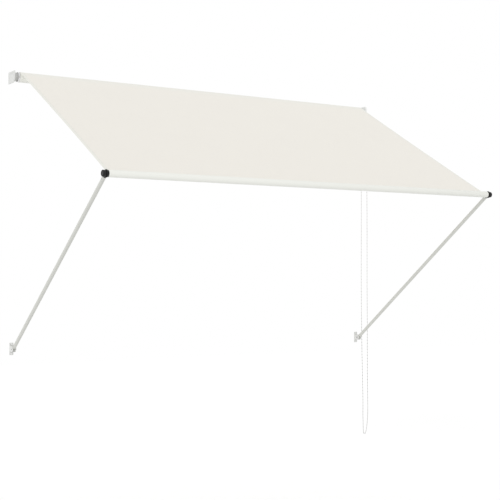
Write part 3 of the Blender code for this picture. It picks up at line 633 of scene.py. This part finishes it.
# Roller tube
# A drawn aluminium tube with a channel along its inside for the cloth's
# welt cord.
drawn_aluminium = metal(
    "drawn_aluminium",
    colour=(0.82, 0.82, 0.83),
    darker=(0.74, 0.74, 0.75),
    rough=(0.30, 0.42),
    crystals=90,
)
dressed("roller_tube", "roller", drawn_aluminium, "aluminium", corner=0)
refinish("roller_keder", moulded_white)


# Wound cloth
# The upper end of the canvas, rolled two and a half turns round the tube, edge
# on edge, so that its ends show a spiral.
cloth_left = 0.016
cloth_width = 2.415
cloth_t = 0.0004
weave_pitch = 0.0008
sewn_length = 1.354
# The length of canopy by the roll that takes the hem's tint
top_tint_length = 0.075
hem_w = 0.020
hem_blend = 0.002
hem_line = cloth_width / 2 - hem_w
pocket_w = 0.030
side_seam_from = pocket_w + 0.0012
stitch_in = 0.003
stitch_pitch = 0.0045
hole_shade = (0.45, 0.43, 0.40, 1)

# A plain weave: each thread's round back, up in one square and down in the next
weave_in_tone = 0.4
tone_strength = 0.8
cloth_weave, given, taken = effect(
    "cloth_weave", {"Place": None, "Thread": weave_pitch}, ("Height", "Tone")
)
along_threads = put(cloth_weave, "SeparateXYZ", Vector=given["Place"]).outputs
ribs = []
for axis in ("X", "Y"):
    threads = calculate(cloth_weave, "DIVIDE", along_threads[axis], given["Thread"])
    wave = calculate(cloth_weave, "SINE", calculate(cloth_weave, "MULTIPLY", threads, pi))
    back = calculate(cloth_weave, "ABSOLUTE", wave)
    ribs.append((back, calculate(cloth_weave, "FLOOR", threads)))
crossing = calculate(cloth_weave, "ADD", ribs[0][1], ribs[1][1])
over = calculate(cloth_weave, "PINGPONG", crossing, 1.0)
under = calculate(cloth_weave, "SUBTRACT", 1.0, over)
warp = calculate(cloth_weave, "MULTIPLY", ribs[0][0], over)
weft = calculate(cloth_weave, "MULTIPLY", ribs[1][0], under)
weave_height = calculate(cloth_weave, "ADD", warp, weft)
# Slubs, the thicker stretches of a thread
tones = []
for stretch in ((900.0, 12.0, 1.0), (12.0, 900.0, 1.0)):
    drawn_out = put(cloth_weave, "Mapping", Vector=given["Place"], Scale=stretch).outputs[0]
    slub = put(cloth_weave, "TexNoise", Vector=drawn_out, Scale=1.0, Detail=1.0)
    tones.append(slub.outputs["Fac"])
slubs = calculate(cloth_weave, "MULTIPLY", calculate(cloth_weave, "ADD", *tones), 0.5)
weave_shade = calculate(cloth_weave, "MULTIPLY", weave_height, weave_in_tone)
shade = calculate(cloth_weave, "ADD", weave_shade, slubs)
cloth_tone = calculate(cloth_weave, "MULTIPLY", shade, tone_strength)
cloth_weave.links.new(weave_height, taken["Height"])
cloth_weave.links.new(cloth_tone, taken["Tone"])

# A seam: a line that the thread pulls in, with a needle hole at each stitch's end. The mask darkens
# the holes and a band along the line: painted shade in the holes and in the groove
groove_shade_share = 0.16
sewn_seam, given, taken = effect(
    "sewn_seam", {"Off Seam": 0.0, "Along": 0.0, "Pitch": stitch_pitch}, ("Mask",)
)
off_seam = given["Off Seam"]
beside = put(sewn_seam, "MapRange", Value=off_seam, From_Min=0.0006, From_Max=0.0002)
in_stitch = calculate(
    sewn_seam, "FRACT", calculate(sewn_seam, "DIVIDE", given["Along"], given["Pitch"])
)
from_centre = calculate(
    sewn_seam, "ABSOLUTE", calculate(sewn_seam, "SUBTRACT", in_stitch, 0.5)
)
at_end = put(sewn_seam, "MapRange", Value=from_centre, From_Min=0.40, From_Max=0.46)
pierced = calculate(sewn_seam, "MULTIPLY", beside.outputs[0], at_end.outputs[0])
groove_shade = put(
    sewn_seam, "MapRange", Value=off_seam, From_Min=0.0011, From_Max=0.0003, To_Max=groove_shade_share
)
sewn_mask = calculate(sewn_seam, "MAXIMUM", pierced, groove_shade.outputs[0])
sewn_seam.links.new(sewn_mask, taken["Mask"])


def canvas(name, colour, deeper, soil, hem):
    """Dyed acrylic canvas that reads the piece's own flat pattern in metres.

    hem tints its sewn sides and the end by the roll.
    """
    material = bpy.data.materials.new(name)
    material.use_nodes = True
    tree = material.node_tree
    shader = tree.nodes["Principled BSDF"]
    spot = put(tree, "UVMap", {"uv_map": "flat_pattern"}).outputs[0]
    threads = put(
        tree, "Group", {"node_tree": cloth_weave}, Place=spot, Thread=weave_pitch
    ).outputs
    tone = threads["Tone"]
    tint = put(tree, "MixRGB", Fac=tone, Color1=(*deeper, 1), Color2=(*colour, 1)).outputs[0]
    clouds = put(tree, "TexNoise", Vector=spot, Scale=3.0, Detail=6.0).outputs["Fac"]
    patchy = put(tree, "MapRange", Value=clouds, From_Min=0.45, From_Max=0.8, To_Max=0.35)
    clean = put(tree, "MixRGB", Fac=patchy.outputs[0], Color1=tint, Color2=(*soil, 1))
    across = put(tree, "SeparateXYZ", Vector=spot).outputs
    from_middle = calculate(
        tree, "ABSOLUTE", calculate(tree, "SUBTRACT", across["X"], cloth_width / 2)
    )
    at_side = put(
        tree, "MapRange", Value=from_middle, From_Min=hem_line, From_Max=hem_line + hem_blend
    )
    at_top = put(
        tree,
        "MapRange",
        {"interpolation_type": "SMOOTHSTEP"},
        Value=across["Y"],
        From_Min=sewn_length - top_tint_length,
        From_Max=sewn_length,
    )
    sewn = calculate(tree, "MAXIMUM", at_side.outputs[0], at_top.outputs[0])
    hemmed = put(
        tree,
        "MixRGB",
        {"blend_type": "MULTIPLY"},
        Fac=sewn,
        Color1=clean.outputs[0],
        Color2=(*hem, 1),
    )
    holes = []
    for place, seam, run, start in (
        (from_middle, hem_line + stitch_in, across["Y"], side_seam_from),
        (across["Y"], pocket_w - stitch_in, across["X"], 0.0),
    ):
        away = calculate(tree, "ABSOLUTE", calculate(tree, "SUBTRACT", place, seam))
        along = calculate(tree, "SUBTRACT", run, start)
        sewing = put(
            tree,
            "Group",
            {"node_tree": sewn_seam},
            Off_Seam=away,
            Along=along,
            Pitch=stitch_pitch,
        )
        holes.append(sewing.outputs[0])
    # The needle holes and the band along each seam take hole_shade: painted shade
    pierced = calculate(tree, "MAXIMUM", *holes)
    final = put(
        tree,
        "MixRGB",
        {"blend_type": "MULTIPLY"},
        Fac=pierced,
        Color1=hemmed.outputs[0],
        Color2=hole_shade,
    )
    tree.links.new(final.outputs[0], shader.inputs["Base Color"])
    gloss = put(tree, "MapRange", Value=tone, To_Min=0.92, To_Max=0.78)
    tree.links.new(gloss.outputs[0], shader.inputs["Roughness"])
    surface = calculate(tree, "SUBTRACT", threads["Height"], pierced)
    relief = put(tree, "Bump", Strength=0.6, Distance=0.00016, Height=surface)
    tree.links.new(relief.outputs[0], shader.inputs["Normal"])
    shader.inputs["Sheen Weight"].default_value = 0.12
    shader.inputs["Sheen Roughness"].default_value = 0.4
    return material


# The roll's copy of the canvas is paler and greyer than the canopy's, though it is the same cloth:
# painted light on the roll under the canopy
roll_canvas_painted_light = canvas(
    "roll_canvas_painted_light",
    colour=(0.893, 0.898, 0.85),
    deeper=(0.853, 0.858, 0.81),
    soil=(0.853, 0.85, 0.80),
    hem=(1.0, 1.0, 1.0),
)


def cloth_mesh(name, rows, thickness):
    """A sheet through rows of points. Each point is its place and its spot on the flat pattern."""
    wide = len(rows[0])
    points = [place for row in rows for place, _ in row]
    flat_spots = [spot for row in rows for _, spot in row]
    faces = [
        (r * wide + c, r * wide + c + 1, (r + 1) * wide + c + 1, (r + 1) * wide + c)
        for r in range(len(rows) - 1)
        for c in range(wide - 1)
    ]
    mesh = bpy.data.meshes.new(name)
    mesh.from_pydata(points, [], faces)
    layer = mesh.uv_layers.new(name="flat_pattern")
    for loop in mesh.loops:
        layer.data[loop.index].uv = flat_spots[loop.vertex_index]
    piece = bpy.data.objects.new(name, mesh)
    scene.collection.objects.link(piece)
    apply_modifier(piece, "cloth thickness", "SOLIDIFY", thickness=thickness, offset=0.0)
    select_only(piece)
    bpy.ops.object.shade_smooth_by_angle(angle=radians(50))
    return piece


roll_inner_r = 0.0281
roll_outer_r = 0.0288
roll_turns = 2.5
roll_leave = radians(119.29)
roll_steps = 110
# Wound cloth is pressed thinner, and its pattern goes on where the canopy's ends
turn_t = 0.00024
pattern_from = 1.36
roll_columns = [0.0, 0.004, hem_w - hem_blend, hem_w, 0.4, 0.8, 1.2, 1.6, 2.0]
roll_columns += [cloth_width - x for x in (hem_w, hem_w - hem_blend, 0.004, 0.0)]
roll_rows = []
roll_run = 0.0
for step in range(roll_steps + 1):
    share = step / roll_steps
    angle = roll_leave - 2 * pi * roll_turns * share
    radius = roll_outer_r + (roll_inner_r - roll_outer_r) * share
    y = wheel_axis[0] + radius * cos(angle)
    z = wheel_axis[1] + radius * sin(angle)
    row = []
    for x in roll_columns:
        row.append((Vector((cloth_left + x, y, z)), (x, pattern_from + roll_run)))
    roll_rows.append(row)
    roll_run += 2 * pi * roll_turns / roll_steps * radius
wound = cloth_mesh("wound_cloth", roll_rows, turn_t)
hand_over(wound, "roller", roll_canvas_painted_light, "fabric", "fabric_roll")


# Chain drive
# A white clutch housing fixed to the right bracket, with a wrap spring inside,
# a steel shaft to the tube's dark plug and a moulded wheel for the beads.
dressed("drive_plug", "roller", moulded_dark, "dark_plastic", corner=0.0004)
dressed("clutch_housing", "frame", moulded_white, "white_plastic", corner=0.0010, steps=3)
dressed("chain_wheel", "roller", moulded_white, "white_plastic", corner=0.0003)
refinish("drive_shaft", zinc_steel)
refinish("clutch_spring", zinc_steel)


# Chain cover
# A moulded white shell over the wheel, slotted below for the chain and held
# by two cross-headed screws.
def cut_out(piece, cutter):
    """Cuts one piece out of another and takes the cutter away."""
    apply_modifier(
        piece, "recess", "BOOLEAN", operation="DIFFERENCE", solver="EXACT", object=cutter
    )
    bpy.data.objects.remove(cutter, do_unlink=True)
    bpy.ops.object.shade_smooth_by_angle(angle=radians(35))


dressed("chain_cover", "frame", moulded_white, "white_plastic", corner=0.0004, angle=50)

recess_w = 0.0008
recess_span = 0.0040
recess_deep = 0.0011
for height in ("low", "high"):
    screw = dressed("cover_screw_" + height, "frame", zinc_steel, "steel", corner=0.0003)
    low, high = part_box("cover_screw_" + height)
    middle = (low + high) / 2
    for size_y, size_z in ((recess_span, recess_w), (recess_w, recess_span)):
        bpy.ops.object.select_all(action="DESELECT")
        bpy.ops.mesh.primitive_cube_add(size=1, location=(high.x, middle.y, middle.z))
        cross = bpy.context.object
        cross.scale = (2 * recess_deep, size_y, size_z)
        bpy.ops.object.transform_apply(location=False, rotation=False, scale=True)
        cut_out(screw, cross)


# Canopy
# One sheet of cream canvas, drawn tight from the roll to the bar. Its sides
# are hemmed, a welt pocket is sewn along the bar, and every seam is a lock stitch.
cream_canvas = canvas(
    "cream_canvas",
    colour=(0.855, 0.828, 0.768),
    deeper=(0.81, 0.782, 0.722),
    soil=(0.82, 0.79, 0.735),
    hem=(0.972, 1.0, 1.005),
)

sheet_up = Vector((0, 0.87226, 0.48905))
sheet_face = Vector((0, -0.48905, 0.87226))
sheet_low = Vector((0, -1.26324, -0.63608))
sheet_length = 1.35366
sheet_sag = 0.0009
sheet_neck = 0.0065
sheet_rest = -0.0003
ripple_height = 0.0005
ripple_waves = (9, 2.3, 5)
cloth_middle = cloth_left + cloth_width / 2
roll_touch_r = 0.0294


def sheet_point(inset, side, run, lift):
    """A point on the canopy: inset from one side edge, run up from the bar, lift off the cloth."""
    share = min(run / sheet_length, 1.0)
    bow = 4 * share * (1 - share)
    half = cloth_width / 2 - sheet_neck * bow
    x = cloth_middle + side * (half - inset * half / (cloth_width / 2))
    fine, broad, drift = ripple_waves
    ripple = ripple_height * bow * sin(fine * x) * sin(broad * x + drift * run)
    height = sheet_rest + lift - sheet_sag * bow + ripple
    if run <= sheet_length:
        spot = sheet_low + sheet_up * run + sheet_face * height
        return Vector((x, spot.y, spot.z))
    angle = roll_leave - (run - sheet_length) / roll_touch_r
    radius = roll_touch_r + lift
    return Vector((x, wheel_axis[0] + radius * cos(angle), wheel_axis[1] + radius * sin(angle)))


hem_relief = 0.0004
hem_slope = 0.002
seam_pull = 0.0002
seam_half = 0.0015


def relief(inset, run):
    """How far the outer cloth stands up over a hem, less what the stitches pull down."""
    in_hem = min(max((hem_w + hem_slope / 2 - inset) / hem_slope, 0.0), 1.0)
    in_pocket = min(max((pocket_w + hem_slope / 2 - run) / hem_slope, 0.0), 1.0)
    off_seam = min(abs(inset - hem_w + stitch_in), abs(run - pocket_w + stitch_in))
    return hem_relief * max(in_hem, in_pocket) - seam_pull * max(1 - off_seam / seam_half, 0.0)


def seam_steps(edge):
    """Places across a seam near the inner edge of a hem, and across that edge."""
    beside_seam = (-seam_half, -0.0007, 0.0, 0.0007, seam_half)
    steps = [edge - stitch_in + d for d in beside_seam]
    return steps + [edge - hem_slope / 2, edge + hem_slope / 2]


# Columns from both sides to the middle, closer together at the hems
inner_from = 0.035
inner_steps = 17
inner_span = cloth_width / 2 - inner_from
inset_steps = [0.0, 0.006, 0.012, *seam_steps(hem_w), 0.026, inner_from]
inset_steps += [inner_from + inner_span * (i + 1) / inner_steps for i in range(inner_steps)]
columns = [(inset, -1) for inset in inset_steps]
columns += [(inset, 1) for inset in reversed(inset_steps[:-1])]

# Rows from the bar to just over the roll
long_from = 0.040
long_steps = 40
long_span = sheet_length - 0.060
run_steps = [0.0, 0.003, 0.008, 0.014, 0.020, *seam_steps(pocket_w), long_from]
run_steps += [long_from + long_span * (i + 1) / long_steps for i in range(long_steps)]
run_steps += [sheet_length + d for d in (-0.010, 0.0, 0.0015, 0.003)]

sheet_rows = []
for run in run_steps:
    row = []
    for inset, side in columns:
        place = sheet_point(inset, side, run, relief(inset, run))
        row.append((place, (inset if side < 0 else cloth_width - inset, run)))
    sheet_rows.append(row)
canopy = cloth_mesh("canopy_cloth", sheet_rows, cloth_t)
hand_over(canopy, "frame", cream_canvas, "fabric", "canopy")

# The turned-in cloth lies just under the canopy, with its own part of the pattern
layer_gap = 0.00005
hem_lift = hem_relief - cloth_t - layer_gap
hem_t = cloth_t * 0.9
hem_pattern_from = 3.0
hem_edge = 0.0002
hem_steps = 36
hem_short = 0.014


def sheet_strip(name, stations):
    """A hem under the canopy. Each station is a row of insets, sides and runs."""
    rows = []
    for row in stations:
        places = [sheet_point(inset, side, run, hem_lift) for inset, side, run in row]
        rows.append([(p, (p.x - cloth_left, r[2] + hem_pattern_from)) for p, r in zip(places, row)])
    return cloth_mesh(name, rows, hem_t)


hem_span = sheet_length - pocket_w - hem_short
hem_runs = [side_seam_from]
hem_runs += [pocket_w + hem_span * i / hem_steps for i in range(1, hem_steps + 1)]
hem_insets = (hem_edge, 0.006, 0.012, hem_w - stitch_in, hem_w)
pocket_runs = (0.0, 0.003, 0.012, pocket_w)
hems = []
for name, side in (("hem_left", -1), ("hem_right", 1)):
    stations = [[(inset, side, run) for inset in hem_insets] for run in hem_runs]
    hems.append(sheet_strip(name, stations))
stations = [[(max(i, hem_edge), side, run) for i, side in columns] for run in pocket_runs]
hems.append(sheet_strip("welt_pocket", stations))
for hem in hems:
    hand_over(hem, "frame", cream_canvas, "fabric")

sewing_thread = skin(
    "sewing_thread",
    colour=(0.87, 0.85, 0.80),
    deeper=(0.80, 0.78, 0.72),
    rough=(0.55, 0.65),
    grain_scale=6000,
    grain_depth=0.00002,
    dust=0.0,
)
stitch_half = 0.0019
stitch_full = 0.0012
stitch_r = 0.0003


def stitch_row(line, points, faces):
    """Adds a row of stitches along a line, each a short thread that dives at both ends."""
    at, length = along_line(line)
    for number in range(int(length / stitch_pitch)):
        middle = at((number + 0.5) * stitch_pitch)
        before = at((number + 0.45) * stitch_pitch)
        after = at((number + 0.55) * stitch_pitch)
        ahead = (after - before).normalized()
        across = ahead.cross(sheet_face).normalized() * stitch_r
        up = sheet_face * stitch_r
        base = len(points)
        points += [middle - ahead * stitch_half, middle + ahead * stitch_half]
        for ring in (middle - ahead * stitch_full, middle + ahead * stitch_full):
            points += [ring + across, ring + up, ring - across, ring - up]
        for a, b in ((2, 3), (3, 4), (4, 5), (5, 2)):
            faces += [(base, base + a, base + b), (base + 1, base + b + 4, base + a + 4)]
            faces.append((base + b, base + a, base + a + 4, base + b + 4))


above_seam = hem_relief + cloth_t / 2 - seam_pull
below_hem = hem_lift - cloth_t / 2
stitch_points = []
stitch_faces = []
for lift in (above_seam, below_hem):
    for side in (-1, 1):
        line = [sheet_point(hem_w - stitch_in, side, run, lift) for run in hem_runs]
        stitch_row(line, stitch_points, stitch_faces)
    line = [sheet_point(inset, side, pocket_w - stitch_in, lift) for inset, side in columns]
    stitch_row(line, stitch_points, stitch_faces)
stitch_mesh = bpy.data.meshes.new("canopy_stitches")
stitch_mesh.from_pydata(stitch_points, [], stitch_faces)
stitches = bpy.data.objects.new("canopy_stitches", stitch_mesh)
scene.collection.objects.link(stitches)
start_edit(stitches)
bpy.ops.mesh.normals_make_consistent(inside=False)
end_edit(stitches, 60)
hand_over(stitches, "frame", sewing_thread, "fabric")

# The canopy, its hems and its stitches each get a mesh of their own
for piece in (canopy, *hems, stitches):
    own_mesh(piece)


# Front bar
# A white painted aluminium tube that weights the canopy, with a channel along
# it for the welt cord of the cloth.
powder_white = skin(
    "powder_white",
    colour=(0.833, 0.838, 0.79),
    deeper=(0.823, 0.828, 0.78),
    rough=(0.36, 0.42),
    grain_scale=420,
    grain_depth=0.00006,
    dust=0.05,
    worn=(0.70, 0.70, 0.67),
)
dressed("front_bar", "front_bar", powder_white, "white_paint", corner=0.0003)
refinish("bar_keder", moulded_white)


# Bar-end joints
# A block of black plastic is pressed into each end of the bar. A bolt holds the
# eye of the arm between the block and a round black knob.
moulded_black = skin(
    "moulded_black",
    colour=(0.008, 0.008, 0.008),
    deeper=(0.012, 0.012, 0.012),
    rough=(0.36, 0.48),
    grain_scale=900,
    grain_depth=0.00005,
    dust=0.04,
    shine=0.25,
    worn=(0.035, 0.035, 0.034),
)
for side in ("left", "right"):
    arm = "arm_" + side
    head = "arm_head_" + side
    dressed("bar_plug_" + side, "front_bar", moulded_black, "black_plastic", corner=0.0004)
    dressed("knob_" + side, "front_bar", moulded_black, "black_plastic", corner=0.0003)
    dressed(head, arm, moulded_black, "black_plastic", corner=0.0006, steps=3)
    dressed("joint_bolt_" + side, "front_bar", zinc_steel, "steel", corner=0.0003)


# Arms
# Two round metal tubes, painted white. A pale plastic foot is riveted into the
# wall end of each, and a black plastic head into the bar end.
# The arms' powder is a darker, greyer copy of the bar's white: painted shade, for the canopy's
# shade on the arms
arm_white_painted_shade = skin(
    "arm_white_painted_shade",
    colour=(0.625, 0.63, 0.592),
    deeper=(0.61, 0.615, 0.577),
    rough=(0.36, 0.42),
    grain_scale=420,
    grain_depth=0.00006,
    dust=0.05,
    worn=(0.52, 0.52, 0.49),
)
# The feet are pale plastic, coloured mid grey here: painted shade under the feet between the ears
foot_grey_painted_shade = skin(
    "foot_grey_painted_shade",
    colour=(0.50, 0.505, 0.47),
    deeper=(0.47, 0.475, 0.44),
    rough=(0.42, 0.52),
    grain_scale=1000,
    grain_depth=0.00003,
    dust=0.05,
    worn=(0.42, 0.42, 0.39),
)
for side in ("left", "right"):
    arm = "arm_" + side
    tube = "arm_tube_" + side
    dressed(tube, arm, arm_white_painted_shade, "white_paint", corner=0.0002, steps=1, angle=60)
    dressed("arm_foot_" + side, arm, foot_grey_painted_shade, "white_plastic", corner=0.0005)
    for end in ("foot", "head"):
        dressed(end + "_rivet_" + side, arm, zinc_steel, "steel", corner=0.0002)


# Arm brackets
# Wall plates of painted metal with two ears each. A countersunk bolt with a
# hexagon socket holds the foot of the arm between the ears, with a nut behind.
socket_r = 0.0023
socket_deep = 0.0018
for side in ("left", "right"):
    plate = "arm_bracket_" + side
    dressed(plate, "frame", bracket_white_painted_shade, "white_paint", corner=0.0006, steps=3)
    dressed("pivot_nut_" + side, "frame", zinc_steel, "steel", corner=0.0005)
    bolt_node = "pivot_bolt_" + side
    bolt = dressed(bolt_node, "frame", zinc_steel, "steel", corner=0.00015, steps=1)
    low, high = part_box(bolt_node)
    middle = (low + high) / 2
    face_x = low.x if side == "left" else high.x
    bpy.ops.object.select_all(action="DESELECT")
    bpy.ops.mesh.primitive_cylinder_add(
        vertices=6,
        radius=socket_r,
        depth=2 * socket_deep,
        location=(face_x, middle.y, middle.z),
        rotation=(0, pi / 2, 0),
    )
    hexagon = bpy.context.object
    bpy.ops.object.transform_apply(location=False, rotation=True, scale=True)
    cut_out(bolt, hexagon)
